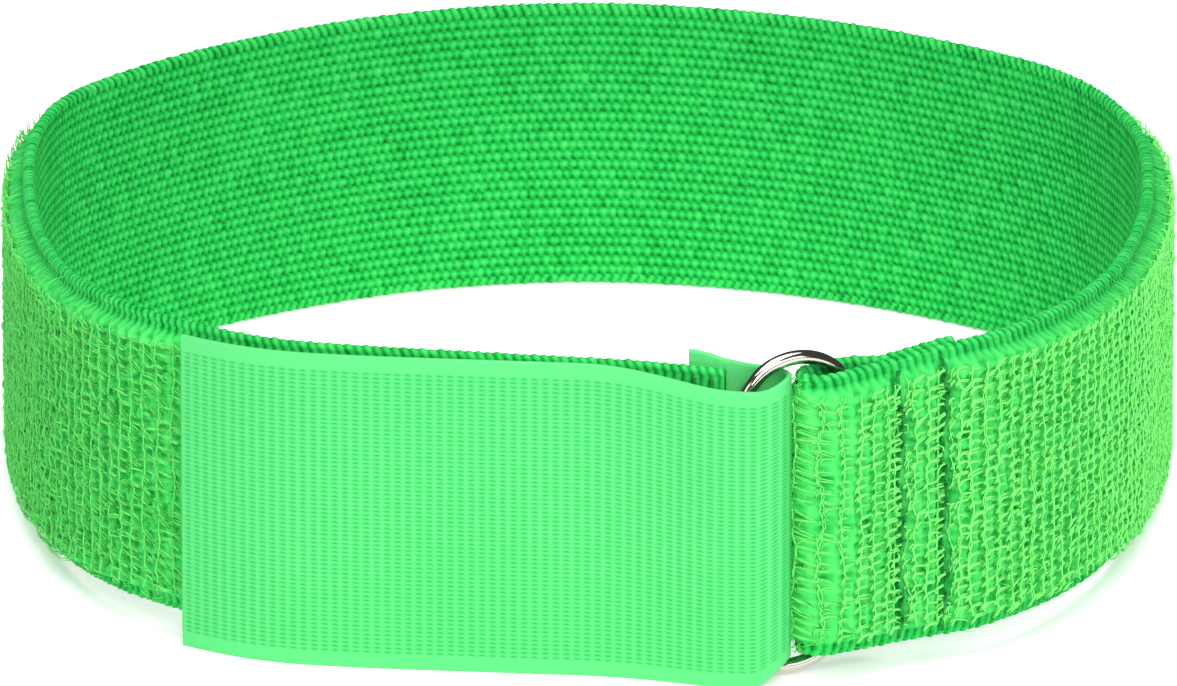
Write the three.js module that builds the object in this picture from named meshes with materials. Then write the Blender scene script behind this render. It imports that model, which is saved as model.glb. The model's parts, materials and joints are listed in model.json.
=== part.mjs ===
// Elastic hook-and-loop cinch strap with a metal ring, closed into a loop and standing on its edge.
// Millimetres, +Z up. The ring and the loose flap of the hook tape face -Y.
import * as THREE from 'three';

// The loop, measured to the middle of the elastic
const halfWidth = 86.7;
const halfDepth = 88.5;

// Elastic band: knitted ground with loop pile on its outer face
const bandWidth = 47;
const bandThickness = 1.8;
const pileHeight = 2.8;
const pilePressedHeight = 0.9;
const pileEdgeMargin = 3.2;
const pileGrooveHeight = 0.4;

// Hook tape: woven back with hooks on its inner face
const tapeWidth = 50;
const tapeThickness = 0.8;
const tapeSelvedge = 2.5;
const hookHeight = 0.6;
const tapeSeamOverlap = 6;
const flapLength = 82.5;

// Oval ring. The strips are squeezed a little to pass through its window.
const ringWire = 2.2;
const ringWidth = 21;
const ringWindow = 47;
const ringYaw = THREE.MathUtils.degToRad(22);
const ringLean = THREE.MathUtils.degToRad(2);
const ringCentreX = 30.6;
const ringCentreY = -halfDepth - 7.0;
const ringLift = 0.6;

// Clearances
const pieceGap = 0.3;
const barGap = 0.75;
const windowClearance = 0.9;
const foldGap = 0.5;
const tapeFoldRadius = 3.6;
const tapeFoldForward = 1.8;

// How far the elastic's lower edge stands above the table
const liftAtTapeEnd = 2.6;
const liftAtFlapTip = 3.8;
const liftAtRingEnd = 3.6;
const liftAtTapeLeg = 1.5;

// Sewing thread and the rows it makes
const threadDiameter = 0.6;
const stitchLength = 3;
const ringRowsBeyondFold = [0.3, 8.1];
const ringTailBeyondFold = 11.9;
const tapeRowsFromEnd = [1.6, 4.2];
const threadInset = 1.6;
const threadSwell = 0.15;

// The flap's two creases split it in three
const flapCreases = [1 / 3, 2 / 3];
const flapStart = 5.5;
const flapEasesInto = 24;
const flapTopDip = 1.6;
const flapTopLevelFrom = 34;

// Where the pile and the hooks leave the cloth bare
const bareBeyondTapeSeam = 2.5;
const pileRiseBeyondFlap = 8;
const pileFallBeforeFold = 5;
const tailPileHeight = 1.68;
const grooveHalfWidth = 2.2;
const hookFieldMargin = 0.5;

// How closely the solids follow their curves
const sliceSpacing = 4;
const foldSliceSpacing = 0.9;
const grooveSliceSpacing = 0.65;
const flapSliceSpacing = 5;
const hookSliceSpacing = 6;
const foldArcSteps = 10;
const squeezeFade = 24;

const colours = {
  elastic: 0x2fbf5a,
  pile: 0x6fe37a,
  tape: 0x60f185,
  hooks: 0x7fdc6a,
  thread: 0x2fae4c,
  nickel: 0xb9b7b2,
};

const elasticMaterial = new THREE.MeshStandardMaterial({
  color: colours.elastic, roughness: 0.85, metalness: 0,
});
const pileMaterial = new THREE.MeshStandardMaterial({
  color: colours.pile, roughness: 0.95, metalness: 0,
});
const tapeMaterial = new THREE.MeshStandardMaterial({
  color: colours.tape, roughness: 0.6, metalness: 0,
});
const hookMaterial = new THREE.MeshStandardMaterial({
  color: colours.hooks, roughness: 0.5, metalness: 0,
});
const threadMaterial = new THREE.MeshStandardMaterial({
  color: colours.thread, roughness: 0.6, metalness: 0,
});
const nickelMaterial = new THREE.MeshStandardMaterial({
  color: colours.nickel, roughness: 0.15, metalness: 1,
});

const { lerp, smoothstep } = THREE.MathUtils;
const strap = new THREE.Group();

function addPiece(name, geometry, material) {
  const piece = new THREE.Mesh(geometry, material);
  piece.name = name;
  strap.add(piece);
  return piece;
}

// A curve seen from above, measured in millimetres along its length. The side that counts as
// outward is on the left of the way it runs. Past either end it goes on straight.
class PlanLine {
  constructor(points) {
    const corners = points.map(([x, y]) => new THREE.Vector3(x, y, 0));
    this.curve = new THREE.CatmullRomCurve3(corners, false, 'centripetal');
    this.curve.arcLengthDivisions = 3000;
    this.length = this.curve.getLength();
  }

  heading(s) {
    const inside = THREE.MathUtils.clamp(s / this.length, 0, 1);
    const tangent = this.curve.getTangentAt(inside);
    return new THREE.Vector2(tangent.x, tangent.y).normalize();
  }

  at(s, outward = 0) {
    const inside = THREE.MathUtils.clamp(s, 0, this.length);
    const point = this.curve.getPointAt(inside / this.length);
    const ahead = this.heading(s);
    const beyond = s - inside;
    return new THREE.Vector2(
      point.x + beyond * ahead.x - outward * ahead.y,
      point.y + beyond * ahead.y + outward * ahead.x,
    );
  }

  // The length along the line that comes nearest to a point, between two lengths
  nearest(target, from, to, step = 0.05) {
    let best = from;
    for (let s = from; s <= to; s += step) {
      if (this.at(s).distanceTo(target) < this.at(best).distanceTo(target)) {
        best = s;
      }
    }
    return best;
  }
}

// Lengths from one end to the other, evenly apart and no further than the spacing
function evenLengths(from, to, spacing) {
  const count = Math.max(1, Math.ceil((to - from) / spacing));
  return Array.from({ length: count + 1 }, (_, i) => lerp(from, to, i / count));
}

function arcPoints(centre, radius, startAngle, endAngle, count) {
  const points = [];
  for (let i = 0; i <= count; i += 1) {
    const angle = lerp(startAngle, endAngle, i / count);
    points.push([centre.x + radius * Math.cos(angle), centre.y + radius * Math.sin(angle)]);
  }
  return points;
}

// ---- Plan of the ring ----

const barSpacing = ringWidth - ringWire;
const ringAcross = new THREE.Vector2(Math.cos(ringYaw), Math.sin(ringYaw));
const ringCentre = new THREE.Vector2(ringCentreX, ringCentreY);
const leftBar = ringCentre.clone().addScaledVector(ringAcross, -barSpacing / 2);
const rightBar = ringCentre.clone().addScaledVector(ringAcross, barSpacing / 2);
const ringHeight = ringWindow + 2 * ringWire;
const squeezedBottom = ringLift + ringWire + windowClearance;
const squeezedTop = ringLift + ringWire + ringWindow - windowClearance;

// ---- Plan of the elastic: from its sewn left end round the back to the fold over the ring ----

const ringEndAngle = THREE.MathUtils.degToRad(30);
const ringEndAhead = new THREE.Vector2(-Math.cos(ringEndAngle), -Math.sin(ringEndAngle));
const ringEndOut = new THREE.Vector2(-ringEndAhead.y, ringEndAhead.x);
const legOffset = ringWire / 2 + barGap + bandThickness / 2;
const foldRadius = legOffset;
const foldReach = foldRadius + bandThickness / 2;
const foldRun = 2 * foldRadius;
const ringRowsFromBar = ringRowsBeyondFold.map((beyond) => foldRun + beyond);
const ringTailLength = foldRun + ringTailBeyondFold;
const foldCentreX = ringCentre.x + foldGap / 2 + foldReach;
const foldSetback = (rightBar.x - foldCentreX) / -ringEndAhead.x;
const foldCentre = rightBar.clone().addScaledVector(ringEndAhead, foldSetback);

// A point beside the ring's right bar: mm away from the bar along the leg, mm outward
function besideBar(away, outward) {
  const point = rightBar.clone().addScaledVector(ringEndAhead, -away);
  point.addScaledVector(ringEndOut, outward);
  return [point.x, point.y];
}

// Left end of the elastic, beside and beyond the ring's left bar
const tapeEndPlan = [
  [leftBar.x - 1.6, leftBar.y + 2.6],
  [leftBar.x - 15, leftBar.y + 6.2],
  [leftBar.x - 36, leftBar.y + 8.6],
];

// Round the loop, as shares of the half width and half depth
const loopPlan = [
  [-0.41, -0.995], [-0.545, -0.968], [-0.675, -0.9], [-0.8, -0.785], [-0.9, -0.61],
  [-0.965, -0.36], [-1, -0.03], [-0.995, 0.28], [-0.945, 0.47], [-0.84, 0.61], [-0.63, 0.79],
  [-0.33, 0.945], [0, 1], [0.33, 0.94], [0.62, 0.8], [0.86, 0.6],
  [0.975, 0.33], [0.995, 0], [0.965, -0.3], [0.905, -0.57], [0.805, -0.79],
].map(([x, y]) => [x * halfWidth, y * halfDepth]);

const seamPress = bandThickness + pieceGap;
const tailPress = legOffset - seamPress;
const beforeRow = 0.8;
const beyondRow = 1.5;
const nearlyIn = 0.92;
const foldAngle = Math.atan2(ringEndOut.y, ringEndOut.x);
const bandLine = new PlanLine([
  ...tapeEndPlan,
  ...loopPlan,
  besideBar(20, legOffset),
  besideBar(10, legOffset),
  besideBar(3, legOffset),
  ...arcPoints(foldCentre, foldRadius, foldAngle, foldAngle - Math.PI, foldArcSteps),
  besideBar(1, -legOffset),
  besideBar(ringRowsFromBar[0] - beforeRow, lerp(-legOffset, tailPress, nearlyIn)),
  besideBar(ringRowsFromBar[0] + beyondRow, tailPress),
  besideBar(ringRowsFromBar[1], tailPress),
  besideBar(ringTailLength, tailPress),
]);

const foldTip = bandLine.nearest(
  foldCentre.clone().add(new THREE.Vector2(-foldRadius, 0)),
  bandLine.length - 3 * ringTailLength,
  bandLine.length,
);
const outerLegRows = ringRowsFromBar.map((away) => (
  bandLine.nearest(new THREE.Vector2(...besideBar(away, legOffset)), foldTip - 2 * ringTailLength, foldTip)
));
const tailRows = ringRowsFromBar.map((away) => (
  bandLine.nearest(new THREE.Vector2(...besideBar(away, tailPress)), foldTip, bandLine.length)
));

// ---- Heights of the elastic's edges ----

function bandLift(s) {
  const liftFadeStart = flapLength;
  const liftFadeEnd = liftFadeStart + halfDepth;
  if (s < liftFadeStart) {
    return lerp(liftAtTapeEnd, liftAtFlapTip, smoothstep(s, 0, flapLength));
  }
  const leftLift = liftAtFlapTip * (1 - smoothstep(s, liftFadeStart, liftFadeEnd));
  const rightRiseStart = foldTip - 1.4 * halfDepth;
  const rightRiseEnd = foldTip - ringWidth;
  const rightLift = liftAtRingEnd * smoothstep(s, rightRiseStart, rightRiseEnd);
  return leftLift + rightLift;
}

function squeezeAtFold(s) {
  return 1 - smoothstep(Math.abs(s - foldTip), foldRun, foldRun + squeezeFade);
}

function bandBottom(s) {
  return lerp(bandLift(s), squeezedBottom, squeezeAtFold(s));
}

function bandTop(s) {
  return lerp(bandLift(s) + bandWidth, squeezedTop, squeezeAtFold(s));
}

// ---- Plan of the hook tape: sewn inner leg, U-fold round the ring, then the flap ----

const innerLegOffset = -(bandThickness + tapeThickness) / 2 - pieceGap;
const flapOffset = bandThickness / 2 + pilePressedHeight + hookHeight + tapeThickness / 2 + 3 * pieceGap;
const barSide = bandLine.at(0).clone().sub(leftBar);
const barOffset = -barSide.dot(new THREE.Vector2(-bandLine.heading(0).y, bandLine.heading(0).x));
const flapOffsetAtRing = barOffset + ringWire / 2 + barGap + tapeThickness / 2;
const tapeFoldReach = tapeFoldRadius + tapeThickness / 2;
const tapeFoldCentre = new THREE.Vector2(
  ringCentre.x - foldGap / 2 - tapeFoldReach, ringCentre.y - tapeFoldForward,
);

function flapOffsetAt(s) {
  return lerp(flapOffsetAtRing, flapOffset, smoothstep(s, 0, flapEasesInto));
}

function planPoint(s, outward) {
  const point = bandLine.at(s, outward);
  return [point.x, point.y];
}

const flapPlan = evenLengths(0, flapLength, 6).map((s) => planPoint(s, flapOffsetAt(s)));
const tapeLine = new PlanLine([
  planPoint(tapeSeamOverlap, innerLegOffset),
  planPoint(tapeSeamOverlap / 2, innerLegOffset),
  planPoint(0.5, innerLegOffset),
  ...arcPoints(tapeFoldCentre, tapeFoldRadius, Math.PI / 2, -Math.PI / 2, foldArcSteps),
  ...flapPlan,
]);
const tapeLegLength = tapeLine.length - flapLength;
const tapeFoldTip = tapeLine.nearest(
  tapeFoldCentre.clone().add(new THREE.Vector2(tapeFoldRadius, 0)), 0, tapeLegLength,
);
const flapHinge = tapeLine.nearest(
  bandLine.at(flapStart, flapOffsetAt(flapStart)), tapeFoldTip, tapeLegLength + 2 * flapStart,
);

// ---- Heights of the tape's edges: squeezed in the ring, full width on both sides of it ----

const squeezedRun = 1;
const flapClearOfRing = 2 * tapeFoldRadius;

function tapeBottom(q) {
  if (q < tapeFoldTip) {
    return lerp(liftAtTapeLeg, squeezedBottom, smoothstep(q, 0, tapeFoldTip - tapeFoldRadius));
  }
  return lerp(squeezedBottom, 0, smoothstep(q - tapeFoldTip, squeezedRun, 1.1 * flapClearOfRing));
}

function tapeTop(q) {
  if (q < tapeFoldTip) {
    const legTop = liftAtTapeLeg + tapeWidth;
    return lerp(legTop, squeezedTop, smoothstep(q, 0, tapeFoldTip - tapeFoldRadius));
  }
  const beyond = q - tapeFoldTip;
  const dip = squeezedTop - flapTopDip * smoothstep(beyond, squeezedRun, flapClearOfRing);
  return lerp(dip, tapeWidth, smoothstep(beyond, flapClearOfRing, flapTopLevelFrom));
}

// ---- Solids ----

// A strip that follows a plan line: a box with one slice between each two lengths, bent into
// place. Its faces lie at inner(s) and outer(s), and its edges at bottom(s) and top(s).
function bentStrip(line, lengths, { inner, outer, bottom, top }) {
  const slices = lengths.length - 1;
  const geometry = new THREE.BoxGeometry(slices, 1, 1, slices, 1, 1);
  const position = geometry.getAttribute('position');
  for (let i = 0; i < position.count; i += 1) {
    const s = lengths[Math.round(position.getX(i) + slices / 2)];
    const isOuter = position.getY(i) > 0;
    const isTop = position.getZ(i) > 0;
    const point = line.at(s, isOuter ? outer(s) : inner(s));
    position.setXYZ(i, point.x, point.y, isTop ? top(s) : bottom(s));
  }
  geometry.computeVertexNormals();
  return geometry;
}

// Lengths along a line: close together between closeFrom and closeTo, wide apart elsewhere
function mixedLengths(from, to, spacing, closeFrom, closeTo, closeSpacing) {
  const before = closeFrom > from ? evenLengths(from, closeFrom, spacing).slice(0, -1) : [];
  const close = evenLengths(Math.max(from, closeFrom), Math.min(to, closeTo), closeSpacing);
  const after = closeTo < to ? evenLengths(closeTo, to, spacing).slice(1) : [];
  return [...before, ...close, ...after];
}

function makeElasticBand() {
  const closeFrom = foldTip - foldRun - ringWidth / 2;
  const end = bandLine.length;
  const lengths = mixedLengths(0, end, sliceSpacing, closeFrom, end, foldSliceSpacing);
  const geometry = bentStrip(bandLine, lengths, {
    inner: () => -bandThickness / 2,
    outer: () => bandThickness / 2,
    bottom: bandBottom,
    top: bandTop,
  });
  addPiece('elastic_band', geometry, elasticMaterial);
}

const pileFoot = bandThickness / 2 + pieceGap;
const foldHalfRun = 1.6 * foldRadius;

function pileGroove(s, rows) {
  const distance = Math.min(...rows.map((row) => Math.abs(s - row)));
  return 1 - smoothstep(distance, threadDiameter / 2 + pieceGap, grooveHalfWidth);
}

function outerPileHeight(s) {
  const underFlap = 1 - smoothstep(s, flapLength, flapLength + pileRiseBeyondFlap);
  const pileEnd = foldTip - foldHalfRun;
  const nearFold = smoothstep(s, pileEnd - pileFallBeforeFold, pileEnd);
  const free = lerp(pileHeight, pilePressedHeight, Math.max(underFlap, nearFold));
  return lerp(free, pileGrooveHeight, pileGroove(s, outerLegRows));
}

function makeOuterPile() {
  const start = tapeSeamOverlap + bareBeyondTapeSeam;
  const end = foldTip - foldHalfRun;
  const closeFrom = outerLegRows[1] - 1.4 * grooveHalfWidth;
  const lengths = mixedLengths(start, end, sliceSpacing, closeFrom, end, grooveSliceSpacing);
  const geometry = bentStrip(bandLine, lengths, {
    inner: () => pileFoot,
    outer: (s) => pileFoot + outerPileHeight(s),
    bottom: (s) => bandBottom(s) + pileEdgeMargin,
    top: (s) => bandTop(s) - pileEdgeMargin,
  });
  addPiece('outer_pile', geometry, pileMaterial);
}

function makeTailPile() {
  const start = foldTip + foldHalfRun;
  const lengths = evenLengths(start, bandLine.length, grooveSliceSpacing);
  const geometry = bentStrip(bandLine, lengths, {
    inner: () => pileFoot,
    outer: (s) => pileFoot + lerp(tailPileHeight, pileGrooveHeight, pileGroove(s, tailRows)),
    bottom: (s) => bandBottom(s) + pileEdgeMargin,
    top: (s) => bandTop(s) - pileEdgeMargin,
  });
  addPiece('tail_pile', geometry, pileMaterial);
}

// One piece of the tape's woven back between two lengths, and the hooks on its inner face
function makeTapePiece(name, from, to, spacing) {
  const geometry = bentStrip(tapeLine, evenLengths(from, to, spacing), {
    inner: () => -tapeThickness / 2,
    outer: () => tapeThickness / 2,
    bottom: tapeBottom,
    top: tapeTop,
  });
  addPiece(name, geometry, tapeMaterial);
}

function makeHookField(name, from, to) {
  const face = -tapeThickness / 2 - pieceGap;
  const geometry = bentStrip(tapeLine, evenLengths(from, to, hookSliceSpacing), {
    inner: () => face - hookHeight,
    outer: () => face,
    bottom: (q) => tapeBottom(q) + tapeSelvedge,
    top: (q) => tapeTop(q) - tapeSelvedge,
  });
  addPiece(name, geometry, hookMaterial);
}

const flapRun = tapeLine.length - flapHinge;
const creaseLengths = flapCreases.map((share) => flapHinge + share * flapRun);
const hookStart = tapeLine.nearest(
  bandLine.at(tapeSeamOverlap + bareBeyondTapeSeam, flapOffsetAt(tapeSeamOverlap)),
  flapHinge,
  creaseLengths[0],
);
const pieceEnds = [flapHinge, ...creaseLengths, tapeLine.length];
const flapNames = ['flap_root', 'flap_middle', 'flap_tip'];

function makeHookTape() {
  makeTapePiece('hook_tape_anchor', 0, flapHinge - pieceGap / 2, foldSliceSpacing);
  flapNames.forEach((name, i) => {
    const isLast = i === flapNames.length - 1;
    const from = pieceEnds[i] + pieceGap / 2;
    const to = isLast ? pieceEnds[i + 1] : pieceEnds[i + 1] - pieceGap / 2;
    makeTapePiece(`${name}_tape`, from, to, flapSliceSpacing);
    const hooksFrom = Math.max(from + hookFieldMargin, hookStart);
    makeHookField(`${name}_hooks`, hooksFrom, to - hookFieldMargin);
  });
}

// Oval ring: a torus pulled apart along its height, so that its two sides are straight bars
function makeRing() {
  const turns = 32;
  const wireSides = 10;
  const radius = barSpacing / 2;
  const straight = ringHeight - ringWire - barSpacing;
  const geometry = new THREE.TorusGeometry(radius, ringWire / 2, wireSides, turns);
  geometry.rotateZ(Math.PI / turns);
  const position = geometry.getAttribute('position');
  for (let i = 0; i < position.count; i += 1) {
    position.setY(i, position.getY(i) + Math.sign(position.getY(i)) * (straight / 2));
  }
  geometry.rotateZ(-ringLean);
  geometry.rotateX(Math.PI / 2);
  geometry.rotateZ(ringYaw);
  geometry.translate(ringCentre.x, ringCentre.y, ringLift + ringHeight / 2);
  addPiece('ring', geometry, nickelMaterial);
}

// A row of stitches: one thread that runs up the strip, standing out a little at each stitch
function makeThread(name, line, s, offset, from, to) {
  const stitches = Math.round((to - from) / stitchLength);
  const points = [];
  for (let i = 0; i <= 2 * stitches; i += 1) {
    const outward = offset + (i % 2 === 0 ? 0 : Math.sign(offset) * threadSwell);
    const place = line.at(s, outward);
    points.push(new THREE.Vector3(place.x, place.y, lerp(from, to, i / (2 * stitches))));
  }
  const outline = new THREE.Shape();
  outline.absarc(0, 0, threadDiameter / 2, 0, 2 * Math.PI, false);
  const geometry = new THREE.ExtrudeGeometry(outline, {
    steps: 2 * stitches,
    curveSegments: 3,
    bevelEnabled: false,
    extrudePath: new THREE.CatmullRomCurve3(points),
  });
  addPiece(name, geometry, threadMaterial);
}

function makeRingSeams() {
  const offset = pileFoot + pileGrooveHeight + pieceGap + threadDiameter / 2;
  outerLegRows.forEach((s, i) => {
    const from = bandBottom(s) + threadInset;
    const to = bandTop(s) - threadInset;
    makeThread(`ring_seam_${i + 1}_needle_thread`, bandLine, s, offset, from, to);
  });
  tailRows.forEach((s, i) => {
    const from = bandBottom(s) + threadInset;
    const to = bandTop(s) - threadInset;
    makeThread(`ring_seam_${i + 1}_bobbin_thread`, bandLine, s, offset, from, to);
  });
}

function makeTapeSeams() {
  const outerOffset = bandThickness / 2 + pieceGap + threadDiameter / 2;
  const innerOffset = innerLegOffset - tapeThickness / 2 - pieceGap - threadDiameter / 2;
  tapeRowsFromEnd.forEach((s, i) => {
    const from = bandBottom(s) + threadInset;
    const to = bandTop(s) - threadInset;
    makeThread(`tape_seam_${i + 1}_needle_thread`, bandLine, s, outerOffset, from, to);
    makeThread(`tape_seam_${i + 1}_bobbin_thread`, bandLine, s, innerOffset, from, to);
  });
}

makeElasticBand();
makeOuterPile();
makeTailPile();
makeHookTape();
makeRing();
makeRingSeams();
makeTapeSeams();

// The origin is on the table, under the middle of the whole strap
const extent = new THREE.Box3().setFromObject(strap);
const middle = extent.getCenter(new THREE.Vector3());
strap.position.set(-middle.x, -middle.y, 0);

export default strap;
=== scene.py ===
import json
import math

import bpy
import numpy as np
from mathutils import Matrix, Vector


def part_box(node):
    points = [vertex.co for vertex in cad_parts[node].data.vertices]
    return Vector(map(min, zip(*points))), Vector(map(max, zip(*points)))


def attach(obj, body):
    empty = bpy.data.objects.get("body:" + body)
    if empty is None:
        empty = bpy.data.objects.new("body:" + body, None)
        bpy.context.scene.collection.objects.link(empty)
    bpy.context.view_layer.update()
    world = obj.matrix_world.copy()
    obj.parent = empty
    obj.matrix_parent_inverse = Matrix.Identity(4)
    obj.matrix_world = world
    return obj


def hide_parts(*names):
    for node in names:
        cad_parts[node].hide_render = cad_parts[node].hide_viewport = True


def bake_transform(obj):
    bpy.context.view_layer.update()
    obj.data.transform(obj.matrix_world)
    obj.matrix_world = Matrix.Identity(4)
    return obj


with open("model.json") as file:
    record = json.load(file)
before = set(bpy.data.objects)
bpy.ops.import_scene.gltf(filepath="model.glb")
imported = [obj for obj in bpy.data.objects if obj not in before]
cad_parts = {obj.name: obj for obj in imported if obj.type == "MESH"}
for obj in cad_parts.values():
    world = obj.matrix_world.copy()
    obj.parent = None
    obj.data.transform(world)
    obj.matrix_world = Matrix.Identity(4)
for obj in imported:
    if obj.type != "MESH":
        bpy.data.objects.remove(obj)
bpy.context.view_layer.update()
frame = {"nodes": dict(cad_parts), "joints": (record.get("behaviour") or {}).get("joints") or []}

MM = 0.001

# ---- Sizes of the cloth's own detail, in millimetres ----

BAND_WIDTH = 47.0
BAND_THICKNESS = 1.8
BAND_TAIL = 24.0       # the end of the band that is folded over the ring and sewn behind
TAPE_WIDTH = 50.0
TAPE_THICKNESS = 0.8
RING_WIRE = 2.2
FACE_INSET = 0.3       # plain cloth between a face's first row and its edge

COURSE = 1.42          # one knitted stitch along the strap
WALE_ABOUT = 1.6       # one knitted stitch across it, before it is fitted to the width
STEPS_PER_STITCH = 4
KNIT_DEPTH = 0.34
HOLE_DEPTH = 0.14
ROPE_RADIUS = 1.02     # the rolled edge of the elastic
ROPE_TURN = math.radians(125)
ROPE_STEPS = 10
ROPE_DEPTH = 0.42
ROPE_SLANT = 0.35      # how far the bars lean along the strap for each radian round
BAR_DEPTH = 0.2        # upright bars of the bare elastic beside its edge
BAND_FACE_EDGE = ROPE_RADIUS * (1 - math.cos(ROPE_TURN)) + FACE_INSET
BAND_WALES = round((BAND_WIDTH - 2 * BAND_FACE_EDGE) / WALE_ABOUT)
WALE = (BAND_WIDTH - 2 * BAND_FACE_EDGE) / BAND_WALES

LOOP_COLUMN = 2.4      # pile loops stand in columns across the strap
LOOP_ROW = 1.65
LOOP_YARN = 0.13
LOOP_MARGIN = 3.0
LOOP_FILAMENTS = 3
LOOP_SPREAD = 0.11     # how far the filaments of one loop part
CHAIN_STEP = LOOP_ROW / 3
CHAIN_FILAMENTS = 2
NAP_SHARE = 0.72       # how much of the pile's height its felted ground fills
SEAM_GROOVE = 0.8      # half the width of the furrow that a row of sewing pulls into the pile
BESIDE_SEAM = np.array([-1.6, -0.5, 1.2])    # where columns of loops stand beside that row
FUZZ_COUNT = 3200
FUZZ_AT_FOLD = 260
FUZZ_POINTS = 6
FUZZ_YARN = 0.05
FUZZ_REACH = (1.0, 3.0)
THIN_SIDES = 3         # sides of the thinnest yarns, of which there are thousands

RIB = 1.6              # ribs of the tape's woven back
STEPS_PER_RIB = 4
RIB_DEPTH = 0.12
PICK_ABOUT = 0.68      # weft threads between the ribs, before they are fitted to the width
PICK_DEPTH = 0.05
STEPS_PER_PICK = 3
TAPE_SELVEDGE = 2.5
TAPE_FACE_EDGE = TAPE_THICKNESS / 2 + FACE_INSET
TAPE_PICKS = round((TAPE_WIDTH - 2 * TAPE_FACE_EDGE) / PICK_ABOUT)
PICK = (TAPE_WIDTH - 2 * TAPE_FACE_EDGE) / TAPE_PICKS
TAPE_BEND = 4.0        # the tape's places this far on each side of a joint are worked out, but nothing bends it
FOLD_BEFORE_JOINT = 8.0    # the fold round the ring ends this far before the first joint

HOOK_PITCH = 1.6       # hooks along the tape
HOOK_ROW = 1.25        # and across it
HOOK_WIRE = 0.11
HOOK_REACH = 0.6       # how far the tip leans along the tape
HOOK_HEIGHT = 0.8
HOOKS_PAST_FOLD = 3.0
HOOK_FIELD_GAP = 1.0
BARE_BEFORE_JOINT = 4.4    # hooks this near a joint would be pressed into the loops as it bends
BARE_PAST_JOINT = 1.5

STITCH_LENGTH = 3.0
STITCH_PLY = 0.14      # the two plies wind round each other this far from the middle
STITCH_YARN = 0.2
STITCH_POINTS = 6
STITCH_SIDES = 5
STITCH_PAINTED_SHADES = np.array([0.8, 0.3, 0.0, 0.0, 0.3, 0.8])    # painted shade darkens its two ends, where they sink into the cloth

DYE_PATCH = 1000 / 60  # the dye's shade varies over this length
FIBRE_STRENGTH = 0.35
FIBRE_HEIGHT = 0.15
WIPE_MARK = 1 / 0.9    # faint wipe marks on the plating
WIPE_STRENGTH = 0.04
WIPE_HEIGHT = 0.05

# ---- Small helpers ----


def linear(hex_colour):
    """An sRGB hex colour as linear RGBA."""
    parts = [int(hex_colour[i:i + 2], 16) / 255 for i in (0, 2, 4)]
    return [c / 12.92 if c <= 0.04045 else ((c + 0.055) / 1.055) ** 2.4 for c in parts] + [1.0]


def add_node(tree, kind, settings=None, **links):
    """Adds a node. settings are its properties, or values of its sockets by name or number;
    links give the output that feeds each of its inputs, with _ for a space."""
    node = tree.nodes.new(kind)
    for name, value in (settings or {}).items():
        if isinstance(name, int) or name in node.inputs:
            node.inputs[name].default_value = value
        else:
            setattr(node, name, value)
    for name, output in links.items():
        key = int(name[2:]) if name.startswith("in") else name.replace("_", " ")
        tree.links.new(output, node.inputs[key])
    return node


def new_material(name):
    """A material with an empty node tree but for its output and a Principled shader."""
    material = bpy.data.materials.new(name)
    material.use_nodes = True
    tree = material.node_tree
    shader = tree.nodes["Principled BSDF"]
    return material, tree, shader


def vertex_places(mesh):
    places = np.empty(len(mesh.vertices) * 3)
    mesh.vertices.foreach_get("co", places)
    return places.reshape(-1, 3)


def select_only(piece):
    bpy.ops.object.select_all(action="DESELECT")
    piece.select_set(True)
    bpy.context.view_layer.objects.active = piece


def unit(vectors):
    return vectors / np.maximum(np.linalg.norm(vectors, axis=-1, keepdims=True), 1e-12)


def ease(x, start, end):
    """0 before start, 1 after end and smooth between."""
    t = np.clip((x - start) / (end - start), 0, 1)
    return t * t * (3 - 2 * t)


def through(knots, values, x):
    """Values at x on a smooth curve through values at knots. Past the ends it goes on straight."""
    slopes = np.gradient(values, knots, axis=0)
    inside = np.clip(x, knots[0], knots[-1])
    i = np.clip(np.searchsorted(knots, inside, side="right") - 1, 0, len(knots) - 2)
    gap = knots[i + 1] - knots[i]
    t = (inside - knots[i]) / gap
    beyond = x - inside
    if values.ndim > 1:
        gap, t, beyond = gap[..., None], t[..., None], beyond[..., None]
    start, end = values[i], values[i + 1]
    bend = (2 * t**3 - 3 * t**2 + 1) * start + (3 * t**2 - 2 * t**3) * end
    bend += gap * ((t**3 - 2 * t**2 + t) * slopes[i] + (t**3 - t**2) * slopes[i + 1])
    last = np.where(beyond < 0, slopes[0], slopes[-1])
    return bend + beyond * last


# ---- The frame's strips, read back as lines seen from above ----


GRID = 0.01 * MM       # corners this close are one corner


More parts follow.
